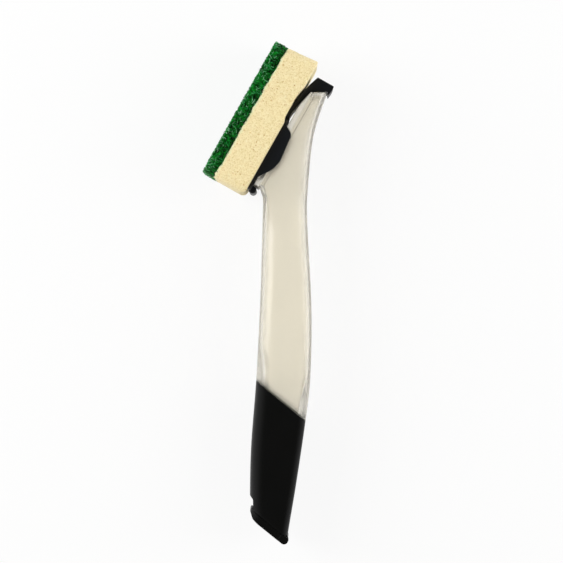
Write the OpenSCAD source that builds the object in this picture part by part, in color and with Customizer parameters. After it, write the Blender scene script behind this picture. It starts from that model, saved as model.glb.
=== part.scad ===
// Fillable dish wand with a tilted head and a clip-on sponge refill.
// It lies on its side: +Y runs from the filler cap to the head, +X to the back of the wand and +Z across it.
// The origin is under the centre of the whole wand, at the floor.

/* [Head] */
// Angle between the sponge and the handle's long axis
head_tilt = 29.5; // [26:0.5:33]
// Height of the sponge's lower back corner over the filler end
head_y = 179.6; // [175:0.2:185]
// Distance of that corner in front of the handle's reference line
head_set = 12.2; // [11:0.2:14]
// Width of the head beside the sponge
head_w = 34; // [31:0.5:37]
// Width of the nose
nose_w = 27; // [24:0.5:29]
// Thickness of the head's face plate
face_t = 2.6; // [2.2:0.1:3.2]
// Length of the head's face from the sponge's lower end to the start of the nose
face_len = 54; // [51:0.5:56]
// Angle by which the nose's front falls back from the face
nose_fall = 11.5; // [9:0.5:14]
// Height of the nose's flat top over the filler end
nose_y = 232.6; // [230:0.2:235]
// Height of the chin's underside over the sponge's lower end
chin_u = 6.9; // [6.5:0.1:8]

/* [Handle] */
// Front-to-back depth at the filler end
end_depth = 20.2; // [18:0.2:22]
// Front-to-back depth where the grip meets the clear body
seam_depth = 27; // [25:0.2:30]
// Front-to-back depth under the head
neck_depth = 23.1; // [21:0.2:26]
// Depth of the nose at its top
nose_depth = 7.6; // [7:0.2:9]
// Width of the handle at the filler end
end_w = 30; // [27:0.5:33]
// Width of the handle at the neck
neck_w = 31; // [28:0.5:34]
// Wall of the clear reservoir
wall = 2; // [1.6:0.1:2.4]
// Radius of the front edges
front_r = 7.5; // [5:0.5:9]
// Radius of the back edges
back_r = 4; // [2.5:0.5:6]

/* [Grip] */
// Slope of the filler end and of the grip's upper edge
slope = 39; // [35:0.5:43]
// Height of the grip's upper edge at the handle's reference line
grip_y = 79; // [70:1:90]
// Wall of the grip sleeve
sleeve_t = 2.2; // [1.8:0.1:2.6]
// Depth of the thumb notch over the cap's lip
notch_d = 1.8; // [1:0.1:2]
// Height of the thumb notch
notch_h = 8; // [6:0.5:10]

/* [Filler] */
// Radius of the filler bore
bore_r = 5.5; // [4.5:0.1:6]
// Wall of the filler neck
neck_t = 1.5; // [1.2:0.1:1.8]
// Thickness of the plate that carries the filler neck
filler_t = 2; // [1.6:0.1:2.4]
// Height of the neck's rim over the grip's end face
rim_h = 0.9; // [0.5:0.1:1.1]
// Thickness of the cap
cap_t = 3.6; // [3.2:0.1:4.2]
// Overhang of the cap's lip past the thumb notch
lip = 1.5; // [0.8:0.1:2]
// Length of the plug inside the bore
plug_len = 3; // [2:0.1:3.5]
// Radius of the hinge barrel
barrel_r = 2.1; // [1.9:0.05:2.3]
// Radius of the hinge pin
pin_r = 0.9; // [0.7:0.05:1.1]
// Width of the cap's middle knuckle
knuckle_w = 12; // [9:0.5:13]
// Width of each fixed knuckle
lug_w = 6.6; // [5:0.2:7]

/* [Valve] */
// Radius of the outlet hole in the face plate
outlet_r = 4.4; // [3.5:0.1:5]
// Width of the valve's seat outside the outlet
seat_w = 2.4; // [1.8:0.1:3]
// Thickness of the valve's flange
valve_t = 0.8; // [0.6:0.1:1]
// Thickness of the valve's retaining ring
ring_t = 0.8; // [0.6:0.05:0.9]
// Height of the outlet over the sponge's lower end
outlet_u = 30; // [26:0.5:34]

/* [Refill] */
// Length of the sponge
sponge_len = 76.8; // [74:0.2:80]
// Width of the sponge
sponge_w = 46.6; // [43:0.2:50]
// Thickness of the cream foam
foam_t = 17.6; // [15:0.2:20]
// Thickness of the green scourer
scour_t = 6.8; // [5:0.2:8]
// Corner radius of the sponge
sponge_r = 6; // [4:0.5:8]
// Thickness of the refill's plate
plate_t = 1.7; // [1.4:0.1:1.9]
// Width of the refill's plate
plate_w = 38.4; // [38.2:0.1:41]
// Thickness of a cheek
cheek_t = 1.8; // [1.4:0.1:2]
// Height of a cheek over the plate's foam side
cheek_h = 7.3; // [6:0.1:8]
// Distance from the sponge's lower end to the cheek's foot
cheek_u = 11.6; // [10:0.2:13]
// Length of a cheek along the plate
cheek_len = 30; // [26:0.5:32]
// Radius of the round heel that hooks under the chin
heel_r = 1.95; // [1.6:0.05:2.1]

/* [Latch] */
// Width of the plate's arm and of the beak
arm_w = 24; // [18:0.5:26]
// Distance from the sponge's lower end to the arm's root
arm_u = 44.5; // [43:0.5:46]
// Depth to which the arm bows into the foam
bow = 1.4; // [0.8:0.1:1.6]
// Thickness of the arm where it flexes
flex_t = 2.6; // [2:0.1:2.8]
// Distance from the sponge's lower end to the flexing line
flex_u = 58.2; // [57:0.2:59]
// Distance from the sponge's lower end to the beak's flat end
beak_u = 71.6; // [70.5:0.1:73]
// Reach of the beak behind the sponge
beak_v = 12.7; // [12.4:0.1:14]
// Gap that the thumb closes between the beak and the foam
beak_gap = 3.2; // [2.4:0.1:3.6]
// Depth to which the barb hangs behind the nose
barb = 1.4; // [1:0.1:1.8]

/* [Hidden] */
$fn = 48;
// Clearance of parts that turn on each other
run_gap = 0.05;
// Clearance of parts that are pressed or welded together
fit_gap = 0.1;
// Clearance of loose parts
free_gap = 0.3;
// Clearance of a cheek beside the head
cheek_gap = 0.4;
// Further clearance of the flexing arm over the nose's front
arm_gap = 0.4;
// Excess that carries a cut past a face
over = 1;
// Length of a block that cuts away everything beyond a plane
far = 600;

// The head's clearances, measured from the sponge's back towards the handle
face_v = -plate_t - free_gap;
weld_v = face_v - face_t;
ring_r = outlet_r + seat_w;

// Places in the handle's frame of points that are given in the head's frame
function head_x(u, v) = -head_set + u * sin(head_tilt) - v * cos(head_tilt);
function head_up(u, v) = head_y + u * cos(head_tilt) + v * sin(head_tilt);
// The height in the head's frame at which the nose's top crosses a depth
function nose_u(v) = (nose_y - head_y - v * sin(head_tilt)) / cos(head_tilt);

// A smooth curve through [place, value] pairs
function slope_at(p, i) = let (a = max(i - 1, 0), b = min(i + 1, len(p) - 1))
  (p[b][1] - p[a][1]) / (p[b][0] - p[a][0]);
function span(p, x) = max([0, for (i = [0:len(p) - 2]) if (x >= p[i][0]) i]);
function curve(p, x) =
  let (
    i = span(p, x),
    h = p[i + 1][0] - p[i][0],
    t = min(max((x - p[i][0]) / h, 0), 1)
  )
  p[i][1] * (1 + 2 * t) * pow(1 - t, 2) + slope_at(p, i) * h * t * pow(1 - t, 2)
  + p[i + 1][1] * t * t * (3 - 2 * t) - slope_at(p, i + 1) * h * t * t * (1 - t);

// A closed outline with rounded corners from [x, y, radius] points
function unit(v) = v / norm(v);
function arc(m, p, q, n) =
  let (
    a = atan2(p[1] - m[1], p[0] - m[0]),
    turn = (atan2(q[1] - m[1], q[0] - m[0]) - a + 540) % 360 - 180
  )
  [for (i = [0:n]) m + norm(p - m) * [cos(a + turn * i / n), sin(a + turn * i / n)]];
// The rounding of a corner takes up no more than this share of either edge
edge_share = 0.6;
function corner(p, c, q, r, n) =
  let (
    a = unit(p - c),
    b = unit(q - c),
    half = acos(a * b) / 2,
    t = min(r / tan(half), edge_share * norm(p - c), edge_share * norm(q - c))
  )
  r == 0 ? [c] : arc(c + unit(a + b) * t / cos(half), c + a * t, c + b * t, n);
function flat(p) = [p[0], p[1]];
function rounded(path, n = 8) = [
  for (i = [0:len(path) - 1])
    each corner(
      flat(path[(i + len(path) - 1) % len(path)]), flat(path[i]),
      flat(path[(i + 1) % len(path)]), path[i][2], n
    )
];
function plan(length, width, r) = rounded([
  [0, -width / 2, r], [length, -width / 2, r], [length, width / 2, r], [0, width / 2, r]
]);

// The handle's side outline: its front and back edges against height
front_end = -9.2;
lean = 3.2;
chin_y = head_up(chin_u, weld_v);
neck_y = chin_y - 6.2;
neck_front = -2.4;
front_edge = [
  [-20, front_end], [25, front_end], [50, front_end + 0.6], [84, front_end + lean],
  [130, neck_front - 1.3], [neck_y - 8, neck_front - 0.2], [neck_y, neck_front],
  [neck_y + 2.4, neck_front - 0.3], [neck_y + 4.5, neck_front - 1], [chin_y, head_x(chin_u, weld_v)]
];
back_edge = [
  [-20, front_end + end_depth - 4.6], [9, front_end + end_depth], [31, front_end + end_depth + 3.7],
  [62, front_end + end_depth + 8.3], [84, front_end + lean + seam_depth + 0.9],
  [122, front_end + lean + seam_depth + 1.6], [neck_y - 6, neck_front + neck_depth - 0.4],
  [neck_y + 9, neck_front + neck_depth + 0.3], [208, 23.2], [221, 26.5],
  [nose_y, head_x(nose_u(weld_v), weld_v) + nose_depth]
];
half_width = [
  [-20, end_w / 2], [30, end_w / 2], [84, end_w / 2 + 0.8], [140, neck_w / 2], [neck_y, neck_w / 2 + 0.2],
  [chin_y + 8, head_w / 2], [chin_y + 22, head_w / 2], [nose_y, nose_w / 2]
];
face_slope = sin(head_tilt) / cos(head_tilt);
function front(y) = y < chin_y ? curve(front_edge, y)
  : head_x(chin_u, weld_v) + (y - chin_y) * face_slope;
function back(y) = curve(back_edge, y);
function front_radius(y) = curve([[neck_y - 14, front_r], [chin_y, 1], [nose_y, 1]], y);
function back_radius(y) = curve([[60, back_r], [120, back_r + 1.5], [200, back_r + 2], [nose_y, back_r - 1]], y);

// A level section of the handle, drawn in by an inset
corner_steps = 7;
function turn(cx, cz, r, from) = [
  for (i = [0:corner_steps]) let (a = from - 90 * i / corner_steps) [cx + r * cos(a), cz + r * sin(a)]
];
function section(y, inset) =
  let (
    xf = front(y) + inset,
    xb = back(y) - inset,
    w = curve(half_width, y) - inset,
    rf = max(front_radius(y) - inset, 0.5),
    rb = max(back_radius(y) - inset, 0.5)
  )
  concat(
    turn(xf + rf, w - rf, rf, 180), turn(xb - rb, w - rb, rb, 90),
    turn(xb - rb, rb - w, rb, 0), turn(xf + rf, rf - w, rf, -90)
  );
function steps(from, to, size) = let (n = ceil((to - from) / size)) [for (i = [0:n]) from + (to - from) * i / n];
low_y = -6;
levels = concat(steps(low_y, neck_y - 12, 11), steps(neck_y - 9, neck_y, 3), steps(neck_y + 1.2, chin_y, 1.1),
  steps(chin_y + 1.5, nose_y - 14, 4), steps(nose_y - 11, nose_y, 2.2));

// A solid through level sections, each [height, inset]
module loft(rings) {
  loops = [for (r = rings) [for (p = section(r[0], r[1])) [p[0], r[0], p[1]]]];
  n = len(loops[0]);
  last = len(loops) - 1;
  polyhedron(
    points = [for (l = loops) each l],
    faces = concat(
      [for (k = [0:last - 1], i = [0:n - 1]) each
        let (a = k * n + i, b = k * n + (i + 1) % n) [[a, a + n, b], [b, a + n, b + n]]],
      [[for (i = [0:n - 1]) i], [for (i = [n - 1:-1:0]) last * n + i]]
    )
  );
}

// The oblique frame of the filler end: its own +Y runs into the handle
end_x = 1.9;
end_y = 9.6;
module at_end() {
  translate([end_x, end_y, 0]) rotate(-slope) children();
}
// Everything beyond the filler end's plane, moved in by a depth
module beyond_end(depth) {
  at_end() translate([-far / 2, depth - far, -far / 2]) cube(far);
}
// Everything on the filler side of the grip's upper edge, moved by a gap
module under_seam(gap) {
  translate([0, grip_y, 0]) rotate(-slope) translate([-far / 2, gap - far, -far / 2]) cube(far);
}
module at_head() {
  translate([-head_set, head_y, 0]) rotate(90 - head_tilt) children();
}

// Clear reservoir in two welded halves
tank_inset = sleeve_t + fit_gap;
grip_top = grip_y + 8;
end_wall = sleeve_t;
function cavity_inset(y) = y < grip_top ? tank_inset + wall
  : y > grip_top + 12 ? wall : wall + tank_inset * (grip_top + 12 - y) / 12;
cavity_levels = concat([for (y = levels) if (y < nose_y - wall - 1.5) y], [nose_y - wall]);
module tank_outside() {
  union() {
    difference() {
      loft([for (y = levels) [y, 0]]);
      under_seam(0);
    }
    difference() {
      loft([for (y = steps(low_y, grip_top, 12)) [y, tank_inset]]);
      beyond_end(end_wall + filler_t + fit_gap);
    }
  }
}
module tank() {
  difference() {
    tank_outside();
    loft([for (y = cavity_levels) [y, cavity_inset(y)]]);
    at_head() face_opening();
  }
}
// A flat outline in the head's frame, thickened from a depth towards the handle
module board(v, thickness) {
  rotate([90, 0, 0]) translate([0, 0, -v]) linear_extrude(thickness) children();
}
module hole(v, depth, r) {
  rotate([90, 0, 0]) translate([0, 0, -v]) cylinder(h = depth, r = r);
}
// A side profile in the head's frame, as wide as the given width
module across(width) {
  translate([0, 0, -width / 2]) linear_extrude(width) children();
}
// The face plate's outline follows the head's width
function face_half(u, inset) = curve(half_width, head_up(u, weld_v)) - inset;
module face_outline(inset) {
  places = steps(chin_u + inset, nose_u(weld_v) - inset, 5);
  n = len(places) - 1;
  polygon(concat(
    [for (u = places) [u, face_half(u, inset)]],
    [for (i = [n:-1:0]) [places[i], -face_half(places[i], inset)]]
  ));
}
// The window in the head that the face plate closes
module face_opening() {
  board(weld_v + over, wall + 3) face_outline(wall + 0.4);
}

module reservoir_left() {
  color([0.87, 0.85, 0.77, 0.6]) intersection() {
    tank();
    translate([-far / 2, -far / 2, 0]) cube(far);
  }
}
module reservoir_right() {
  color([0.87, 0.85, 0.77, 0.6]) difference() {
    tank();
    translate([-far / 2, -far / 2, 0]) cube(far);
  }
}

// Corner between the nose's front and its flat top, moved out by a gap
function nose_corner(gap) =
  let (
    v = face_v + gap,
    k = (nose_y + gap - head_up(face_len, v)) / cos(head_tilt + nose_fall)
  )
  [face_len + k * cos(nose_fall), v - k * sin(nose_fall)];
module head_face_plate() {
  tip = nose_corner(0);
  color([0.87, 0.85, 0.77, 0.6]) at_head() difference() {
    intersection() {
      across(2 * head_w) polygon(rounded([
        [chin_u, weld_v, 0], [chin_u, face_v, 0.6], [face_len, face_v, 20], [tip[0], tip[1], 1.5],
        [nose_u(weld_v), weld_v, 0]
      ]));
      board(face_v, face_t) face_outline(0);
    }
    translate([outlet_u, 0, 0]) hole(over, far / 2, outlet_r);
    translate([outlet_u, 0, 0]) hole(weld_v + valve_t + ring_t, far / 2, ring_r);
  }
}

// Valve with crossed slits, clamped in the face plate by a ring
slit_w = 0.25;
slit_len = 5;
module slit_valve() {
  color("gainsboro") at_head() translate([outlet_u, 0, 0]) difference() {
    union() {
      hole(weld_v + ring_t + valve_t, valve_t, ring_r - run_gap);
      hole(face_v - free_gap, face_t - free_gap - ring_t, outlet_r - run_gap);
    }
    hole(weld_v + ring_t + 0.5, far / 4, outlet_r - 1.6);
    for (a = [0, 90])
      rotate([90, a, 0]) cube([slit_len, slit_w, far / 4], center = true);
  }
}
module valve_ring() {
  color("white") at_head() translate([outlet_u, 0, 0]) difference() {
    hole(weld_v + ring_t, ring_t, ring_r - run_gap);
    hole(0, far / 4, outlet_r);
  }
}

// Filler neck: an end plate welded into the reservoir, with a round neck through the grip's end wall
neck_p = -3.5;
neck_r = bore_r + neck_t;
plate_q = end_wall + fit_gap;
module along_end(q, depth) {
  rotate([90, 0, 0]) translate([0, 0, -q]) linear_extrude(depth) children();
}
module end_bore(q, depth, r) {
  translate([neck_p, 0, 0]) hole(q, depth, r);
}
// Edges of the handle's section on the oblique end, at a depth
function end_p(x, q) = (x - end_x - q * sin(slope)) / cos(slope);
module filler_neck() {
  front_p = end_p(front_end + tank_inset, plate_q);
  back_p = end_p(front_end + end_depth - tank_inset, plate_q + filler_t);
  half = end_w / 2 - tank_inset;
  plate_r = (front_r - tank_inset) / cos(slope);
  color([0.9, 0.88, 0.8, 0.7]) at_end() difference() {
    union() {
      along_end(plate_q + filler_t, filler_t) polygon(rounded([
        [front_p, -half, plate_r], [back_p, -half, 1.5], [back_p, half, 1.5], [front_p, half, plate_r]
      ]));
      end_bore(plate_q + filler_t, plate_q + filler_t + rim_h, neck_r);
    }
    end_bore(far / 2, far, bore_r);
  }
}

// Black grip sleeve, closed at the filler end but for the neck's hole
grip_levels = steps(low_y, grip_y + 16, 9);
hinge_p = 9.6;
hinge_q = -barrel_r + 0.6;
module at_hinge() {
  at_end() translate([hinge_p, hinge_q, 0]) children();
}
module barrel(width, r) {
  cylinder(h = width, r = r, center = true);
}
notch_y = end_y - (front_end + notch_d - end_x) * sin(slope) / cos(slope);
module thumb_notch() {
  across(far) polygon([
    [front_end - over, notch_y + notch_h + over], [front_end, notch_y + notch_h],
    [front_end + notch_d - 0.3, notch_y + notch_h - 3], [front_end + notch_d, notch_y],
    [front_end, notch_y - 4], [front_end - over, notch_y - 4]
  ]);
}
lug_z = knuckle_w / 2 + free_gap;
module lug() {
  translate([0, 0, lug_z]) {
    cylinder(h = lug_w, r = barrel_r);
    translate([-barrel_r, 0, 0]) cube([2 * barrel_r, end_wall - hinge_q - 0.4, lug_w]);
  }
}
module grip_sleeve() {
  color([0.07, 0.07, 0.07]) difference() {
    union() {
      difference() {
        loft([for (y = grip_levels) [y, 0]]);
        translate([0, grip_y, 0]) rotate(-slope) translate([-far / 2, 0, -far / 2]) cube(far);
        beyond_end(0);
        difference() {
          loft([for (y = grip_levels) [y, sleeve_t]]);
          beyond_end(end_wall);
        }
        thumb_notch();
      }
      at_hinge() {
        lug();
        mirror([0, 0, 1]) lug();
      }
    }
    at_end() end_bore(plate_q, far / 2, neck_r + fit_gap);
    at_hinge() barrel(knuckle_w + 2 * free_gap, barrel_r + free_gap);
    at_hinge() barrel(far, pin_r + run_gap / 2);
  }
}
module hinge_pin() {
  color("silver") at_hinge() barrel(2 * (lug_z + lug_w) - 1, pin_r);
}

// Flip cap with a thumb lip and a plug
cap_front = end_p(front_end + notch_d, 0) - lip;
cap_half = end_w / 2;
seat_d = rim_h + free_gap;
stem_r = 2;
stem_len = 1.3;
module flip_cap() {
  back_p = hinge_p - barrel_r - free_gap;
  color([0.07, 0.07, 0.07]) difference() {
    union() {
      at_end() intersection() {
        across(end_w) polygon(rounded([
          [cap_front, 0, 0.3], [cap_front, -0.9, 0.4], [cap_front + 3.6, -cap_t + 0.4, 4],
          [cap_front + 7, -cap_t, 8], [hinge_p, -cap_t, 0], [hinge_p, 0, 0]
        ]));
        along_end(0, cap_t) polygon(rounded([
          [cap_front, -cap_half, front_r], [hinge_p, -cap_half, 0],
          [hinge_p, cap_half, 0], [cap_front, cap_half, front_r]
        ]));
      }
      at_hinge() barrel(knuckle_w, barrel_r);
    }
    for (side = [-1, 1])
      at_end() translate([back_p, -far / 2, side * (far / 2 + knuckle_w / 2) - far / 2]) cube(far);
    at_end() end_bore(over, over + seat_d, neck_r + 0.6);
    at_end() end_bore(0, seat_d + stem_len, stem_r);
    at_hinge() barrel(far, pin_r + run_gap);
  }
}
plug_r = bore_r - fit_gap;
plug_draft = 0.65;
module cap_plug() {
  color("gainsboro") at_end() translate([neck_p, 0, 0]) {
    hole(0, seat_d, plug_r);
    hole(0, seat_d + stem_len - fit_gap, stem_r - run_gap);
    rotate([-90, 0, 0]) cylinder(h = plug_len, r1 = plug_r, r2 = plug_r - plug_draft);
  }
}

// Refill plate: a board with two cheeks, a round heel under the chin and the root of the latch arm
heel_u = chin_u - heel_r - 0.25;
heel_v = -heel_r - 0.5;
heel_w = 30;
// Depth of the arm's underside, which keeps clear of the head's face and of the nose's front
function under_arm(u) = face_v + free_gap - max(u - face_len, 0) * sin(nose_fall) / cos(nose_fall);
flex_v = under_arm(flex_u) + arm_gap + flex_t / 2;
module refill_plate() {
  arm_end = flex_u - flex_t / 2 - run_gap;
  color([0.09, 0.1, 0.11]) at_head() difference() {
    union() {
      board(0, plate_t) translate([heel_u - 1, 0]) polygon(plan(arm_u + 1 - heel_u, plate_w, 3));
      for (side = [-1, 1])
        translate([0, 0, side * (head_w + cheek_t + 2 * cheek_gap) / 2]) across(cheek_t) polygon(rounded([
          [cheek_u, -plate_t / 2, 0], [cheek_u, -plate_t, 1], [cheek_u + 9, -cheek_h - 0.9, 14],
          [cheek_u + cheek_len - 2.6, -cheek_h + 1.1, 3.4], [cheek_u + cheek_len, -plate_t, 0.8],
          [cheek_u + cheek_len + 1, -plate_t / 2, 0]
        ]));
      translate([heel_u, heel_v, 0]) barrel(heel_w, heel_r);
      across(arm_w) polygon(rounded([
        [arm_u - 3.5, -plate_t, 0], [arm_u, -plate_t, 2], [arm_u + 2.5, bow - 1.7, 4],
        [arm_u + 6.5, bow - 2.1, 10], [arm_end, flex_v - flex_t / 2 + 0.2, 0],
        [arm_end, flex_v + flex_t / 2 + 0.2, 0], [arm_u + 6.5, bow + 0.1, 12],
        [arm_u + 0.5, bow - 0.2, 5], [arm_u - 2.5, 0, 3], [arm_u - 3.5, 0, 0]
      ]));
    }
    translate([outlet_u, 0, 0]) hole(over, far / 2, outlet_r);
  }
}

// Latch: the free end of the arm with the thumb beak and the barb behind the nose
function local_u(x, y) = (x + head_set) * sin(head_tilt) + (y - head_y) * cos(head_tilt);
function local_v(x, y) = (y - head_y) * sin(head_tilt) - (x + head_set) * cos(head_tilt);
module latch_beak() {
  tip = nose_corner(free_gap);
  back_x = back(nose_y) + free_gap;
  inner = [local_u(back_x, nose_y + free_gap), local_v(back_x, nose_y + free_gap)];
  point = [local_u(back_x + 0.4, nose_y - barb), local_v(back_x + 0.4, nose_y - barb)];
  under = under_arm(flex_u + 1.2);
  color([0.09, 0.1, 0.11]) at_head() union() {
    translate([flex_u, flex_v, 0]) barrel(arm_w, flex_t / 2);
    across(arm_w) polygon(rounded([
      [flex_u, flex_v - flex_t / 2, 0], [flex_u + 1.2, under, 0], [tip[0], tip[1], 3],
      [inner[0], inner[1], 0.3], [point[0], point[1], 0.2], [point[0] + 3.2, point[1] - 0.4, 0.6],
      [beak_u, -beak_v, 0.4], [beak_u, -beak_gap, 0.5], [flex_u + 8, flex_v - 0.5, 10],
      [flex_u, flex_v + flex_t / 2, 0]
    ]));
  }
}

// Sponge: cream foam, dented by the arm, with a green scourer bonded to it
module foam_sponge() {
  color([0.97, 0.91, 0.72]) at_head() difference() {
    board(foam_t, foam_t) polygon(plan(sponge_len, sponge_w, sponge_r));
    across(far) polygon(rounded([
      [arm_u - 4.5, -over, 0], [arm_u - 3.5, fit_gap, 3], [arm_u, bow - 0.2 + fit_gap, 5],
      [arm_u + 6.5, bow + 0.1 + fit_gap, 12], [flex_u + 2, flex_v + flex_t / 2 + free_gap + 0.1, 6], [flex_u + 9, -over, 0]
    ]));
  }
}
module scourer_pad() {
  color([0.05, 0.42, 0.16]) at_head()
    board(foam_t + scour_t, scour_t) polygon(plan(sponge_len, sponge_w, sponge_r));
}

// The whole wand's box, which sets the origin
left_x = head_x(0, foam_t + scour_t);
right_x = head_x(beak_u, -beak_v);
top_y = head_up(sponge_len, foam_t + scour_t);
low = end_y - hinge_p * sin(slope) + hinge_q * cos(slope) - barrel_r;
module placed() {
  translate([-(left_x + right_x) / 2, -(low + top_y) / 2, sponge_w / 2]) children();
}

placed() reservoir_left();
placed() reservoir_right();
placed() head_face_plate();
placed() slit_valve();
placed() valve_ring();
placed() grip_sleeve();
placed() filler_neck();
placed() flip_cap();
placed() cap_plug();
placed() hinge_pin();
placed() refill_plate();
placed() latch_beak();
placed() foam_sponge();
placed() scourer_pad();
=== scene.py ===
"""Looks of a fillable dish wand: clear handle, black grip and cap, clip-on refill of foam and scourer."""
import logging
import math
import random
from collections.abc import Callable, Iterable, Sequence
from dataclasses import dataclass, field
from enum import Enum
from functools import partial

import bmesh
import bpy
from bmesh.types import BMEdge, BMesh, BMVert
from bpy.types import Material, Mesh, Node, NodeSocket, NodeTree, Object, World
from mathutils import Matrix, Vector, noise


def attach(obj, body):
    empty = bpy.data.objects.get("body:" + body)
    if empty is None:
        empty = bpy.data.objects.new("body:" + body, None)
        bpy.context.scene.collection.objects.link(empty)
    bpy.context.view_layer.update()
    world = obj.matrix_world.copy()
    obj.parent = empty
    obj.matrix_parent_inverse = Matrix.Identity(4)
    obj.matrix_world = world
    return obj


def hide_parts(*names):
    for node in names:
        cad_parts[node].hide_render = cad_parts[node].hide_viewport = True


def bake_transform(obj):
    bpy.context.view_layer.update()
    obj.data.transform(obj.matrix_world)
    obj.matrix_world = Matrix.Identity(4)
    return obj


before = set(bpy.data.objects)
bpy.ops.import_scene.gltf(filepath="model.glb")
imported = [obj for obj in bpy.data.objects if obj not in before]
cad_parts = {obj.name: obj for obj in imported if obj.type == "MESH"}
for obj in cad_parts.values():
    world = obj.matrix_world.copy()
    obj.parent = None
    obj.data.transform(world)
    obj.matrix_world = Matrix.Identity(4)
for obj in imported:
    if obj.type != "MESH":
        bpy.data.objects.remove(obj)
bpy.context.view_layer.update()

LOG = logging.getLogger("dish_wand")
MM = 0.001
# Lays what stands along Z along a local Y axis, pointing to -Y.
UPRIGHT = Matrix.Rotation(math.radians(90), 4, "X")
# How far a cutter reaches to each side, past the edges of the grip and the face, in millimetres.
FAR = 20.0
Point2 = tuple[float, float]
Corner = tuple[float, float, float]
Table = Sequence[tuple[float, float]]
Values = dict[str, object]
Adder = Callable[..., Node]


class Body(Enum):
    """The moving bodies of the wand."""

    HANDLE = "handle"
    CAP = "cap"
    REFILL = "refill"
    LATCH = "latch"


class Slot(Enum):
    """Material slot names for the new pieces; no piece is given one here."""

    CLEAR = "clear_plastic"
    GRIP = "black_grip"
    REFILL = "refill_plastic"
    FOAM = "cream_foam"
    SCOURER = "green_scourer"


# The materials


def linear(code: str) -> tuple[float, float, float, float]:
    """Turns an sRGB hex colour into linear RGBA.

    Args:
        code: six hex digits, such as "E3DCC9".

    Returns:
        Linear red, green, blue and an alpha of 1.
    """
    parts = [int(code[i : i + 2], 16) / 255 for i in (0, 2, 4)]
    r, g, b = (c / 12.92 if c <= 0.04045 else ((c + 0.055) / 1.055) ** 2.4 for c in parts)
    return (r, g, b, 1.0)


def feed(node: Node, values: Values) -> None:
    """Sets a node's properties and inputs, and links what feeds them.

    Args:
        node: the node.
        values: property or input name, or an input's number after a "#", to a value, a socket or a node.
    """
    for name, value in values.items():
        key = int(name[1:]) if name.startswith("#") else name
        if isinstance(value, Node):
            value = value.outputs[0]
        if isinstance(value, NodeSocket):
            node.id_data.links.new(value, node.inputs[key])
        elif isinstance(key, int) or key in node.inputs:
            node.inputs[key].default_value = value
        else:
            setattr(node, key, value)


def add_node(
    tree: NodeTree, kind: str, values: Values | None = None, stops: Sequence[tuple[float, str]] = (),
) -> Node:
    """Adds a node with its settings and links.

    Args:
        tree: the node tree.
        kind: the node's type name after "ShaderNode".
        values: what feed() is given.
        stops: a colour ramp's (place, hex colour) pairs, in order.

    Returns:
        The new node.
    """
    node = tree.nodes.new(f"ShaderNode{kind}")
    feed(node, values or {})
    if stops:
        elements = node.color_ramp.elements
        while len(elements) < len(stops):
            elements.new(0.5)
        for element, (place, code) in zip(elements, stops):
            element.position = place
            element.color = linear(code)
    return node


def fresh_tree(owner: Material | World) -> Adder:
    """Empties the node tree of a material or a world.

    Args:
        owner: the material or the world.

    Returns:
        add_node() for that tree.
    """
    owner.use_nodes = True
    owner.node_tree.nodes.clear()
    return partial(add_node, owner.node_tree)


@dataclass(frozen=True)
class Finish:
    """A finish: the real material, how its surface was made, and what that gives the eye."""

    name: str
    color: str
    roughness: float
    ior: float = 1.5
    metallic: float = 0.0

    def start(self) -> tuple[Material, Adder, Node, NodeSocket]:
        """Makes the material with its shader.

        Returns:
            The material, its add_node(), the shader and the Object coordinates in metres.
        """
        material = bpy.data.materials.new(self.name)
        add = fresh_tree(material)
        shader = add("BsdfPrincipled", {
            "Base Color": linear(self.color), "Roughness": self.roughness, "IOR": self.ior,
            "Metallic": self.metallic,
        })
        add("OutputMaterial", {"Surface": shader})
        return material, add, shader, add("TexCoord").outputs["Object"]


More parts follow.
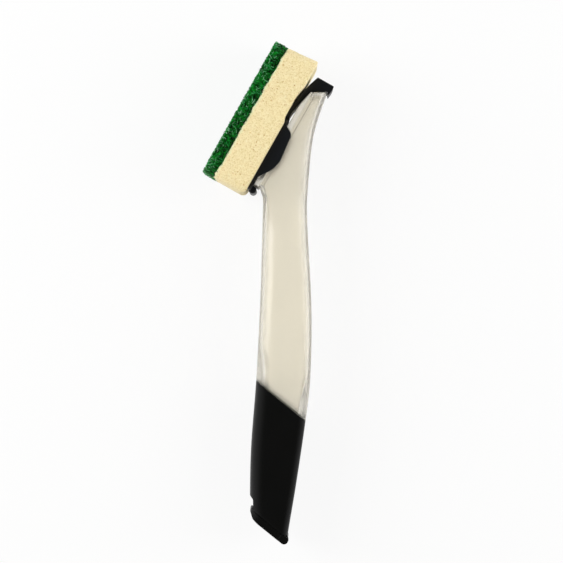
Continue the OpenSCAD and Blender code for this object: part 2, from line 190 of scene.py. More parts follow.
@dataclass(frozen=True)
class ClearMoulding(Finish):
    """Clarified polypropylene, injection moulded: milky, softly see-through, with a faint satin gloss."""

    transmission: float = 0.88
    cloud_mm: float = 9.0
    cloud_swing: float = 0.03
    seam: Point2 | None = None
    seam_band_mm: float = 1.9
    sleeve_shade_color: str = "5C5D58"
    weld_z_mm: float = 23.3
    weld_w_mm: float = 0.5
    weld_h_mm: float = 0.25

    def build(self) -> Material:
        """Makes the translucent material, with the weld bead and a painted shade of the sleeve seen through,
        where it has a seam.

        Returns:
            The material.
        """
        material, add, shader, place = self.start()
        cloud = add("TexNoise", {
            "Scale": 1 / (self.cloud_mm * MM), "Detail": 2.0, "Roughness": 0.4, "Vector": place,
        })
        low, high = self.roughness - self.cloud_swing, self.roughness + self.cloud_swing
        feed(shader, {
            "Roughness": add("MapRange", {"Value": cloud, "To Min": low, "To Max": high}),
            "Transmission Weight": self.transmission,
        })
        if self.seam is not None:
            feed(shader, {"Base Color": self.seam_shade(add, place), "Normal": self.weld_line(add, place)})
        return material

    def weld_line(self, add: Adder, place: NodeSocket) -> Node:
        """Raises the fine bead along which the handle's two halves are welded.

        Args:
            add: the material's add_node().
            place: the Object coordinates.

        Returns:
            The bump.
        """
        across = add("SeparateXYZ", {"#0": place}).outputs["Z"]
        off = add("Math", {"operation": "SUBTRACT", "#0": across, "#1": self.weld_z_mm * MM})
        bead = add("MapRange", {
            "interpolation_type": "SMOOTHSTEP", "Value": add("Math", {"operation": "ABSOLUTE", "#0": off}),
            "From Min": 0.0, "From Max": self.weld_w_mm * MM, "To Min": 1.0, "To Max": 0.0,
        })
        return add("Bump", {"Strength": 1.0, "Distance": self.weld_h_mm * MM, "Height": bead})

    def seam_shade(self, add: Adder, place: NodeSocket) -> NodeSocket:
        """Paints a grey shade into the plastic's colour just over the grip, standing in for the black sleeve
        seen through the wall.

        Args:
            add: the material's add_node().
            place: the Object coordinates.

        Returns:
            The colour.
        """
        height, cast = self.seam
        level = add("VectorMath", {"operation": "DOT_PRODUCT", "#0": place, "#1": (cast, 1.0, 0.0)})
        band = add("MapRange", {
            "interpolation_type": "SMOOTHSTEP", "Value": level.outputs["Value"],
            "From Min": height * MM, "From Max": (height + self.seam_band_mm) * MM,
        })
        # Painted shade: grey mixed into the colour over the grip's edge, for the sleeve seen through the
        # wall.
        mixed = add("Mix", {
            "data_type": "RGBA", "#0": band, "#6": linear(self.sleeve_shade_color), "#7": linear(self.color),
        })
        return mixed.outputs[2]


@dataclass(frozen=True)
class SatinMoulding(Finish):
    """Pigmented plastic moulded against a spark-eroded tool: even satin sheen with a fine grain."""

    grain_mm: float = 0.35
    grain_depth_mm: float = 0.012
    wear_mm: float = 14.0
    wear_swing: float = 0.06
    sheen: float = 0.5

    def build(self) -> Material:
        """Makes the satin material.

        Returns:
            The material.
        """
        material, add, shader, place = self.start()
        # The real grain is about 0.1 mm, too fine for the picture, so it is drawn coarser.
        grain = add("TexNoise", {"Scale": 1 / (self.grain_mm * MM), "Detail": 2.0, "Vector": place})
        wear = add("TexNoise", {
            "Scale": 1 / (self.wear_mm * MM), "Detail": 3.0, "Roughness": 0.6, "Vector": place,
        })
        low, high = self.roughness - self.wear_swing, self.roughness + self.wear_swing
        feed(shader, {
            "Roughness": add("MapRange", {"Value": wear, "To Min": low, "To Max": high}),
            "Normal": add("Bump", {"Strength": 1.0, "Distance": self.grain_depth_mm * MM, "Height": grain}),
            "Specular IOR Level": self.sheen,
        })
        return material


@dataclass(frozen=True)
class FoamFinish(Finish):
    """Cream polyurethane foam, sawn: matte open cells with painted shade in their hollows, and pores painted
    a darker ochre, partly its own specks and partly painted shade in the pits.
    """

    cell_mm: float = 0.7
    cell_depth_mm: float = 0.22
    pore_mm: float = 2.0
    patch_mm: float = 12.0
    cell_hollow_shade: str = "DCC688"
    cell_top_light: str = "FCEFC6"
    speck_and_pore_shade: str = "C08D34"
    scourer_tint: str = "E2E9BE"

    def build(self) -> Material:
        """Makes the foam material.

        Returns:
            The material.
        """
        material, add, shader, place = self.start()
        cells = add("TexNoise", {
            "Scale": 1 / (self.cell_mm * MM), "Detail": 3.0, "Roughness": 0.65, "Vector": place,
        })
        # The cells' tone follows their bump: painted shade in the hollows, painted light on the tops.
        tones = [(0.3, self.cell_hollow_shade), (0.5, self.color), (0.7, self.cell_top_light)]
        shade = add("ValToRGB", {"Fac": cells}, tones)
        # The pores lie on bent cells and thin out in patches, so that no two stand in a row.
        warp = add("TexNoise", {"Scale": 1 / (self.pore_mm * MM), "Detail": 1.0, "Vector": place})
        bent = add("Mix", {"data_type": "VECTOR", "#0": 0.0018, "#4": place, "#5": warp.outputs["Color"]})
        pores = add("TexVoronoi", {
            "Scale": 1 / (self.pore_mm * MM), "Randomness": 1.0, "Vector": bent.outputs[1],
        })
        spot = add("MapRange", {
            "Value": pores, "From Min": 0.1, "From Max": 0.23, "To Min": 1.0, "To Max": 0.0,
        })
        broad = add("TexNoise", {"Scale": 1 / (self.patch_mm * MM), "Detail": 2.0, "Vector": place})
        some = add("MapRange", {
            "Value": broad, "From Min": 0.4, "From Max": 0.6, "To Min": 0.12, "To Max": 0.95,
        })
        deep = add("Math", {"operation": "MULTIPLY", "#0": spot, "#1": some})
        # Painted shade: the pores that the bump sinks are painted a darker ochre, together with the foam's
        # own specks.
        dark = add("Mix", {"data_type": "RGBA", "#0": deep, "#6": shade, "#7": linear(self.speck_and_pore_shade)})
        near = add("Attribute", {"attribute_name": "near_scourer", "attribute_type": "GEOMETRY"})
        final = add("Mix", {
            "data_type": "RGBA", "#0": near.outputs["Fac"], "#6": dark.outputs[2],
            "#7": linear(self.scourer_tint),
        })
        height = add("Math", {"operation": "SUBTRACT", "#0": cells, "#1": deep})
        feed(shader, {
            "Base Color": final.outputs[2],
            "Normal": add("Bump", {"Strength": 0.8, "Distance": self.cell_depth_mm * MM, "Height": height}),
            "Sheen Weight": 0.15, "Sheen Roughness": 0.6,
            "Subsurface Weight": 0.12, "Subsurface Radius": (0.0014, 0.0011, 0.0007),
        })
        return material


@dataclass(frozen=True)
class FibreFinish(Finish):
    """Green nonwoven of nylon, resin and grit: its tone is painted near black in its holes as painted shade,
    and pale where fibres would catch light as painted highlight.
    """

    tuft_mm: float = 1.5
    grit_mm: float = 0.5
    grit_depth_mm: float = 0.1
    mottle: float = 0.5
    shine: float = 0.2

    def build(self) -> Material:
        """Makes the fibre material, coloured by the mesh's own tone, which carries painted shade and painted
        highlights.

        Returns:
            The material.
        """
        material, add, shader, place = self.start()
        tone = add("Attribute", {"attribute_name": "tone", "attribute_type": "GEOMETRY"})
        tuft = add("TexNoise", {
            "Scale": 1 / (self.tuft_mm * MM), "Detail": 3.0, "Roughness": 0.7, "Vector": place,
        })
        swing = add("MapRange", {
            "Value": tuft, "From Min": 0.3, "From Max": 0.7,
            "To Min": -self.mottle / 2, "To Max": self.mottle / 2,
        })
        level = add("Math", {"operation": "ADD", "#0": tone.outputs["Fac"], "#1": swing})
        # The ramp's dark end is the painted shade in the holes, its pale end the painted highlight of
        # glinting fibres.
        stops = [(0.0, "001303"), (0.3, "004F0C"), (0.55, self.color), (0.8, "24984A"), (1.0, "8FCB9C")]
        grit = add("TexNoise", {"Scale": 1 / (self.grit_mm * MM), "Detail": 2.0, "Vector": place})
        feed(shader, {
            "Base Color": add("ValToRGB", {"Fac": level}, stops),
            "Normal": add("Bump", {"Strength": 0.7, "Distance": self.grit_depth_mm * MM, "Height": grit}),
            "Specular IOR Level": self.shine,
        })
        return material


@dataclass(frozen=True)
class WireFinish(Finish):
    """Drawn steel wire: fine drawing marks break up its highlights."""

    line_mm: float = 0.2
    line_depth_mm: float = 0.01

    def build(self) -> Material:
        """Makes the steel material.

        Returns:
            The material.
        """
        material, add, shader, place = self.start()
        lines = add("TexNoise", {"Scale": 1 / (self.line_mm * MM), "Detail": 1.0, "Vector": place})
        feed(shader, {
            "Normal": add("Bump", {"Strength": 0.4, "Distance": self.line_depth_mm * MM, "Height": lines}),
        })
        return material


class Paints:
    """All the finishes, each built once."""

    def __init__(self, seam: Point2) -> None:
        """Builds the materials.

        Args:
            seam: height of the grip's upper edge on the frame's own Y axis, and its slope.
        """
        self.shell = ClearMoulding("clear_polypropylene_shell", "F9F5EA", 0.235, 1.49, seam=seam).build()
        self.clear = ClearMoulding("clear_polypropylene_moulded", "F9F5EA", 0.235, 1.49).build()
        self.face = ClearMoulding("clear_polypropylene_face", "F8F4E9", 0.2, 1.49, transmission=0.8).build()
        self.grip = SatinMoulding("black_polypropylene_moulded", "0C0C0B", 0.4, 1.49, sheen=0.18).build()
        self.refill = SatinMoulding("black_abs_moulded", "121417", 0.45, 1.53, sheen=0.3).build()
        self.foam = FoamFinish("cream_polyurethane_foam_sawn", "F5E2AE", 0.95).build()
        self.scourer = FibreFinish("green_nylon_nonwoven_bonded", "04811C", 0.6, 1.53).build()
        self.fibre = FibreFinish(
            "green_nylon_fibres_bonded", "048E20", 0.38, 1.53, mottle=0.2, shine=0.3
        ).build()
        self.silicone = SatinMoulding("clear_grey_silicone_moulded", "D6D4CC", 0.5, 1.43).build()
        self.white = SatinMoulding("white_polypropylene_moulded", "ECEBE6", 0.4, 1.49).build()
        self.steel = WireFinish("steel_wire_drawn", "C4C4C6", 0.3, 1.5, 1.0).build()


# The mesh tools


def placed(x: float, y: float, z: float = 0.0, turn: float = 0.0) -> Matrix:
    """Returns a place in millimetres, turned some degrees about Z."""
    return Matrix.Translation((x, y, z)) @ Matrix.Rotation(math.radians(turn), 4, "Z")


def slab(corners: Sequence[Corner], low: float, high: float, segments: int = 8) -> BMesh:
    """Extrudes an outline between two heights and rounds its upright corners.

    Args:
        corners: (x, y, radius) points, anticlockwise seen from above.
        low: height of the lower face.
        high: height of the upper face.
        segments: segments of each rounding.

    Returns:
        A closed mesh.
    """
    bm = bmesh.new()
    face = bm.faces.new([bm.verts.new((x, y, low)) for x, y, _ in corners])
    top = bmesh.ops.extrude_face_region(bm, geom=[face])["geom"]
    bmesh.ops.translate(bm, vec=(0, 0, high - low), verts=[v for v in top if isinstance(v, BMVert)])
    bm.faces.ensure_lookup_table()
    for i, (x, y, radius) in enumerate(corners):
        if radius <= 0:
            continue
        here = Vector((x, y))
        before = Vector(corners[i - 1][:2]) - here
        after = Vector(corners[(i + 1) % len(corners)][:2]) - here
        half = before.angle(after) / 2
        # A rounding takes at most 0.6 of either side, so that its neighbour's still fits.
        offset = min(radius / math.tan(half), 0.6 * before.length, 0.6 * after.length)
        edge = next(
            e for e in bm.edges
            if all((v.co.xy - here).length < 1e-5 for v in e.verts) and e.calc_length() > 1e-6
        )
        bmesh.ops.bevel(
            bm, geom=[edge], offset=offset, segments=segments, profile=0.5, affect="EDGES", material=-1,
            clamp_overlap=False,
        )
    bmesh.ops.recalc_face_normals(bm, faces=bm.faces)
    return bm


def soften(bm: BMesh, width: float, segments: int = 2, angle: float = 60.0) -> BMesh:
    """Bevels every edge that is sharper than an angle.

    Args:
        bm: the mesh.
        width: the bevel's width.
        segments: its segments.
        angle: the least angle between two faces, in degrees.

    Returns:
        The same mesh.
    """
    sharp = [e for e in bm.edges if len(e.link_faces) == 2 and e.calc_face_angle(0.0) > math.radians(angle)]
    bmesh.ops.bevel(
        bm, geom=sharp, offset=width, segments=segments, profile=0.5, affect="EDGES", material=-1,
        clamp_overlap=True,
    )
    return bm


def turned(bm: BMesh, matrix: Matrix) -> BMesh:
    """Moves a whole mesh by a matrix and returns it."""
    bmesh.ops.transform(bm, matrix=matrix, verts=bm.verts)
    return bm


def rod(radius: float, low: float, high: float, segments: int = 48) -> BMesh:
    """Makes a cylinder about Z.

    Args:
        radius: its radius.
        low: height of its lower end.
        high: height of its upper end.
        segments: its sides.

    Returns:
        A closed mesh.
    """
    bm = bmesh.new()
    bmesh.ops.create_cone(
        bm, cap_ends=True, segments=segments, radius1=radius, radius2=radius, depth=high - low,
        matrix=placed(0, 0, (low + high) / 2),
    )
    return bm


def as_mesh(bm: BMesh, name: str) -> Mesh:
    """Writes a mesh under construction to a finished one, and frees it.

    Args:
        bm: the mesh under construction.
        name: the new mesh's name.

    Returns:
        The new mesh.
    """
    mesh = bpy.data.meshes.new(name)
    bm.to_mesh(mesh)
    bm.free()
    return mesh


def as_object(bm: BMesh, name: str) -> Object:
    """Turns a mesh in millimetres into a linked object in millimetres.

    Args:
        bm: the mesh, which is freed.
        name: the object's name.

    Returns:
        The object.
    """
    obj = bpy.data.objects.new(name, as_mesh(bm, name))
    bpy.context.scene.collection.objects.link(obj)
    return obj


def baked(obj: Object) -> None:
    """Applies an object's modifiers to its mesh.

    Args:
        obj: the object.
    """
    graph = bpy.context.evaluated_depsgraph_get()
    mesh = bpy.data.meshes.new_from_object(obj.evaluated_get(graph))
    obj.modifiers.clear()
    obj.data = mesh


def combine(obj: Object, parts: Iterable[tuple[str, BMesh]]) -> None:
    """Joins meshes to an object's mesh, or cuts them from it.

    Args:
        obj: the object that is changed.
        parts: (operation, mesh) pairs, where the operation is UNION, DIFFERENCE or INTERSECT.
    """
    for operation, bm in parts:
        tool = as_object(bm, "tool")
        cut = obj.modifiers.new("cut", "BOOLEAN")
        cut.operation = operation
        cut.object = tool
        cut.solver = "EXACT"
        baked(obj)
        bpy.data.objects.remove(tool)


def finish_piece(
    obj: Object, material: Material, body: Body | None, nodes: Sequence[str],
    smooth: float | None = 35.0,
) -> None:
    """Scales a piece to metres, dresses it and hangs it on its body.

    Args:
        obj: the object, in millimetres.
        material: its finish.
        body: the body that it rides on, or None where it is hung on no body.
        nodes: the CAD nodes that it stands for.
        smooth: the angle under which edges shade smooth, or None for all of them.
    """
    bm = bmesh.new()
    bm.from_mesh(obj.data)
    bmesh.ops.remove_doubles(bm, verts=bm.verts, dist=0.002)
    bmesh.ops.dissolve_degenerate(bm, dist=0.001, edges=bm.edges)
    bmesh.ops.scale(bm, vec=(MM, MM, MM), verts=bm.verts)
    bmesh.ops.recalc_face_normals(bm, faces=bm.faces)
    for face in bm.faces:
        face.smooth = True
    for edge in bm.edges:
        edge.smooth = smooth is None or edge.calc_face_angle(0.0) < math.radians(smooth)
    bm.to_mesh(obj.data)
    bm.free()
    obj.data.materials.clear()
    obj.data.materials.append(material)
    if body is not None:
        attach(obj, body.value)
    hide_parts(*nodes)
    LOG.info("%s: %d faces", obj.name, len(obj.data.polygons))


# The shared shape


def rough(point: Vector, waves: Table) -> float:
    """Returns the sum of (length, height) waves of noise at a point, all in millimetres."""
    return sum(noise.noise(point / length) * height for length, height in waves)


def hermite(table: Table, x: float) -> float:
    """Reads a smooth curve.

    Args:
        table: the curve's (place, value) pairs, in order.
        x: the place.

    Returns:
        The value there.
    """
    last = len(table) - 1
    i = max([k for k in range(last) if x >= table[k][0]], default=0)

    def slope(k: int) -> float:
        """Returns the curve's slope at a point."""
        a, b = max(k - 1, 0), min(k + 1, last)
        return (table[b][1] - table[a][1]) / (table[b][0] - table[a][0])

    h = table[i + 1][0] - table[i][0]
    t = min(max((x - table[i][0]) / h, 0.0), 1.0)
    return (
        table[i][1] * (1 + 2 * t) * (1 - t) ** 2 + slope(i) * h * t * (1 - t) ** 2
        + table[i + 1][1] * t * t * (3 - 2 * t) - slope(i + 1) * h * t * t * (1 - t)
    )


@dataclass
class WandShape:
    """The wand's shared sizes in millimetres, and the frames of its head and its filler end."""

    head_tilt: float = 29.5
    head_y: float = 179.6
    head_set: float = 12.2
    head_w: float = 34.0
    nose_w: float = 27.0
    face_t: float = 2.6
    face_len: float = 54.0
    nose_fall: float = 11.5
    nose_y: float = 232.6
    chin_u: float = 6.9
    wall: float = 2.0
    slope: float = 39.0
    grip_y: float = 79.4
    sleeve_t: float = 2.2
    fit_gap: float = 0.1
    free_gap: float = 0.3
    plate_t: float = 1.7
    end_x: float = 1.9
    end_y: float = 9.6
    end_w: float = 30.0
    front_x: float = -9.2
    offset: Corner = (-0.337183, -129.376, 23.3)
    ring_points: int = 9

    def __post_init__(self) -> None:
        """Works out the edges of the handle, as tables of (height, place), and the slopes."""
        self.tilt = math.radians(self.head_tilt)
        self.cast = math.tan(math.radians(self.slope))
        self.face_v = -self.plate_t - self.free_gap
        self.weld_v = self.face_v - self.face_t
        self.chin_y = self.head_up(self.chin_u, self.weld_v)
        self.neck_y = self.chin_y - 6.2
        front, lean, neck, depth, seam = self.front_x, 3.2, -2.4, 20.2, 27.0
        self.front_table = [
            (-20, front), (25, front), (50, front + 0.6), (84, front + lean), (130, neck - 1.3),
            (self.neck_y - 8, neck - 0.2), (self.neck_y, neck), (self.neck_y + 2.4, neck - 0.3),
            (self.neck_y + 4.5, neck - 1), (self.chin_y, self.head_x(self.chin_u, self.weld_v)),
        ]
        self.back_table = [
            (-20, front + depth - 4.6), (9, front + depth), (31, front + depth + 3.7),
            (62, front + depth + 8.3), (84, front + lean + seam + 0.9), (122, front + lean + seam + 1.6),
            (self.neck_y - 6, neck + 22.7), (self.neck_y + 9, neck + 23.4), (208, 23.2), (221, 26.5),
            (self.nose_y, self.head_x(self.nose_u(self.weld_v), self.weld_v) + 7.6),
        ]
        self.width_table = [
            (-20, 15), (30, 15), (84, 15.8), (140, 15.5), (self.neck_y, 15.7),
            (self.chin_y + 8, self.head_w / 2), (self.chin_y + 22, self.head_w / 2),
            (self.nose_y, self.nose_w / 2),
        ]
        self.front_r_table = [(self.neck_y - 14, 7.5), (self.chin_y, 1), (self.nose_y, 1)]
        self.back_r_table = [(60, 4), (120, 5.5), (200, 6), (self.nose_y, 3)]

    def head_x(self, u: float, v: float) -> float:
        """Returns the handle's X of a point given in the head's frame."""
        return -self.head_set + u * math.sin(self.tilt) - v * math.cos(self.tilt)

    def head_up(self, u: float, v: float) -> float:
        """Returns the handle's Y of a point given in the head's frame."""
        return self.head_y + u * math.cos(self.tilt) + v * math.sin(self.tilt)

    def nose_u(self, v: float) -> float:
        """Returns where the nose's top crosses a depth of the head's frame."""
        return (self.nose_y - self.head_y - v * math.sin(self.tilt)) / math.cos(self.tilt)

    def front(self, y: float) -> float:
        """Works out the handle's front edge.

        Args:
            y: the height.

        Returns:
            The edge's X there.
        """
        if y < self.chin_y:
            return hermite(self.front_table, y)
        return self.front_table[-1][1] + (y - self.chin_y) * math.tan(self.tilt)

    def ring(self, s: float, tilt: float, inset: float) -> list[Vector]:
        """Works out a section of the handle on a plane that may slope.

        Args:
            s: the height at which the plane crosses the handle's reference line.
            tilt: the plane's slope, as a rise to the front for each unit of depth.
            inset: how far the section is drawn in.

        Returns:
            The section's points, in the handle's frame.
        """
        points: list[Vector] = []
        n = self.ring_points
        for corner, start in enumerate((180, 90, 0, -90)):
            at_front = corner in (0, 3)
            radii = self.front_r_table if at_front else self.back_r_table
            for i in range(n + 1):
                a = math.radians(start - 90 * i / n)
                y = s
                x = z = 0.0
                # The edges depend on the height and the height on the slope, so the point is closed in on.
                for _ in range(12):
                    xf, xb = self.front(y) + inset, hermite(self.back_table, y) - inset
                    w = hermite(self.width_table, y) - inset
                    r = max(hermite(radii, y) - inset, 0.5)
                    cx = xf + r if at_front else xb - r
                    cz = w - r if corner in (0, 1) else r - w
                    x, z = cx + r * math.cos(a), cz + r * math.sin(a)
                    y = s - x * tilt
                points.append(Vector((x, y, z)))
        return points

    def loft(self, rings: Sequence[Corner], name: str) -> Object:
        """Makes a closed solid by extruding a loop from ring to ring.

        Args:
            rings: (height, tilt, inset) of each ring.
            name: the object's name.

        Returns:
            The object, in millimetres in the wand's frame.
        """
        bm = bmesh.new()
        count = 4 * (self.ring_points + 1)
        loop = bmesh.ops.create_circle(bm, cap_ends=True, radius=1.0, segments=count)["verts"]
        edges = list(bm.edges)
        for i, ring in enumerate(rings):
            if i > 0:
                made = bmesh.ops.extrude_edge_only(bm, edges=edges)["geom"]
                loop = [v for v in made if isinstance(v, BMVert)]
                edges = [e for e in made if isinstance(e, BMEdge)]
            for vert, point in zip(loop, self.ring(*ring)):
                vert.co = point
        bmesh.ops.contextual_create(bm, geom=edges)
        bmesh.ops.recalc_face_normals(bm, faces=bm.faces)
        return as_object(turned(bm, Matrix.Translation(self.offset)), name)

    def seam(self) -> Point2:
        """Returns where the grip's upper edge meets the frame's Y axis, and its slope."""
        return self.grip_y + self.offset[1] + self.offset[0] * self.cast, self.cast

    def end_height(self, q: float) -> float:
        """Returns a ring's height on a plane parallel to the filler end, at a depth into the handle."""
        return self.end_y + self.end_x * self.cast + q / math.cos(math.radians(self.slope))

    def head_frame(self) -> Matrix:
        """Returns the head's frame: X along the sponge, Y out towards the scourer."""
        return Matrix.Translation(self.offset) @ placed(-self.head_set, self.head_y, turn=90 - self.head_tilt)

    def end_frame(self) -> Matrix:
        """Returns the filler end's frame: X down the slope, Y into the handle."""
        return Matrix.Translation(self.offset) @ placed(self.end_x, self.end_y, turn=-self.slope)

    def nose_corner(self, gap: float) -> Point2:
        """Works out the corner of the nose's front and top.

        Args:
            gap: how far it is moved out.

        Returns:
            The corner, in the head's frame.
        """
        v = self.face_v + gap
        fall = math.radians(self.nose_fall)
        k = (self.nose_y + gap - self.head_up(self.face_len, v)) / math.cos(self.tilt + fall)
        return self.face_len + k * math.cos(fall), v - k * math.sin(fall)

    def under_arm(self, u: float) -> float:
        """Returns the least depth of the arm over the head and the nose."""
        past = max(u - self.face_len, 0)
        return self.face_v + self.free_gap - past * math.tan(math.radians(self.nose_fall))


# The sub-assemblies


@dataclass
class Reservoir:
    """The clear handle: a thin shell from the filler end to the nose, and the face with the valve's seat."""

    shape: WandShape
    paints: Paints
    step: float = 2.6
    rim: float = 0.9
    floor_t: float = 2.0
    rows_below: int = 20
    rows_inside: int = 70
    outlet_u: float = 30.0
    outlet_r: float = 4.4
    seat_r: float = 6.8
    seat_deep: float = 1.6
    tip_r: float = 1.5
    bend_r: float = 20.0

    def build(self) -> None:
        """Builds the shell and the face."""
        self.shell()
        self.face()

    def shell(self) -> None:
        """Builds the clear shell: its outside down to the seam, under the sleeve, and its inside back up."""
        s = self.shape
        nose, wall, sunk, seam = s.nose_y, s.wall, s.sleeve_t + s.fit_gap, s.grip_y
        low = s.end_height(s.sleeve_t + self.floor_t + s.fit_gap)

        def tilt(y: float) -> float:
            """Fades the seam's slope out towards the head."""
            t = min(max((y - seam) / 60, 0.0), 1.0)
            return s.cast * (1 - t * t * (3 - 2 * t))

        rings = [(nose, 0.0, 0.9), (nose - 0.25, 0.0, 0.3), (nose - self.rim, 0.0, 0.0)]
        reach = nose - self.rim - seam
        count = int(reach / self.step)
        heights = [nose - self.rim - reach * i / count for i in range(1, count)]
        rings += [(y, tilt(y), 0.0) for y in heights]
        edge = ((0.5, 0.0), (0.15, 0.05), (0.03, 0.3), (0.03, sunk))
        rings += [(seam + rise, s.cast, inset) for rise, inset in edge]
        rows = self.rows_below
        rings += [(seam + (low - seam) * i / rows, s.cast, sunk) for i in range(1, rows + 1)]
        rings += [(low, s.cast, sunk + wall)]
        rows = self.rows_inside
        for i in range(1, rows + 1):
            y = low + (nose - wall - low) * i / rows
            out = min(max((y - seam - 8) / 12, 0.0), 1.0)
            rings.append((y, tilt(y), wall + sunk * (1 - out)))
        obj = s.loft(rings, "reservoir_shell")
        window = slab(self.face_plan(wall + 0.4), 0, wall + 3)
        combine(obj, [("DIFFERENCE", turned(window, s.head_frame() @ placed(0, s.weld_v + 1) @ UPRIGHT))])
        nodes = ("reservoir_left", "reservoir_right")
        finish_piece(obj, self.paints.shell, Body.HANDLE, nodes, smooth=40)

    def face_plan(self, inset: float) -> list[Corner]:
        """Works out the face's outline, in the head's frame seen against its Y axis.

        Args:
            inset: how far the outline is drawn in.

        Returns:
            (x, z, radius) points for a slab laid along the face.
        """
        s = self.shape
        steps = 14
        first, last = s.chin_u + inset, s.nose_u(s.weld_v) - inset
        right: list[Corner] = []
        for i in range(steps + 1):
            u = first + (last - first) * i / steps
            half = hermite(s.width_table, s.head_up(u, s.weld_v)) - inset
            right.append((u, -half, max(1.2 - inset, 0.0) if i in (0, steps) else 0.0))
        return right + [(u, -z, radius) for u, z, radius in reversed(right)]

    def face(self) -> None:
        """Builds the face plate, with the valve's seat cut in it."""
        s = self.shape
        tip = s.nose_corner(0)
        profile = [
            (s.chin_u, s.weld_v, 0.0), (s.nose_u(s.weld_v), s.weld_v, 0.0), (*tip, self.tip_r),
            (s.face_len, s.face_v, self.bend_r), (s.chin_u, s.face_v, 0.6),
        ]
        head = s.head_frame()
        obj = as_object(turned(slab(profile, -s.head_w, s.head_w), head), "head_face")
        plan = slab(self.face_plan(0.0), -1, s.face_t + 3)
        at = head @ placed(self.outlet_u, 0) @ UPRIGHT
        seat = -s.weld_v - self.seat_deep
        combine(obj, [
            ("INTERSECT", turned(plan, head @ placed(0, s.weld_v + s.face_t) @ UPRIGHT)),
            ("DIFFERENCE", turned(rod(self.outlet_r, -2, FAR), at)),
            ("DIFFERENCE", turned(rod(self.seat_r, seat, -s.weld_v + 3), at)),
        ])
        finish_piece(obj, self.paints.face, Body.HANDLE, ("head_face_plate",))


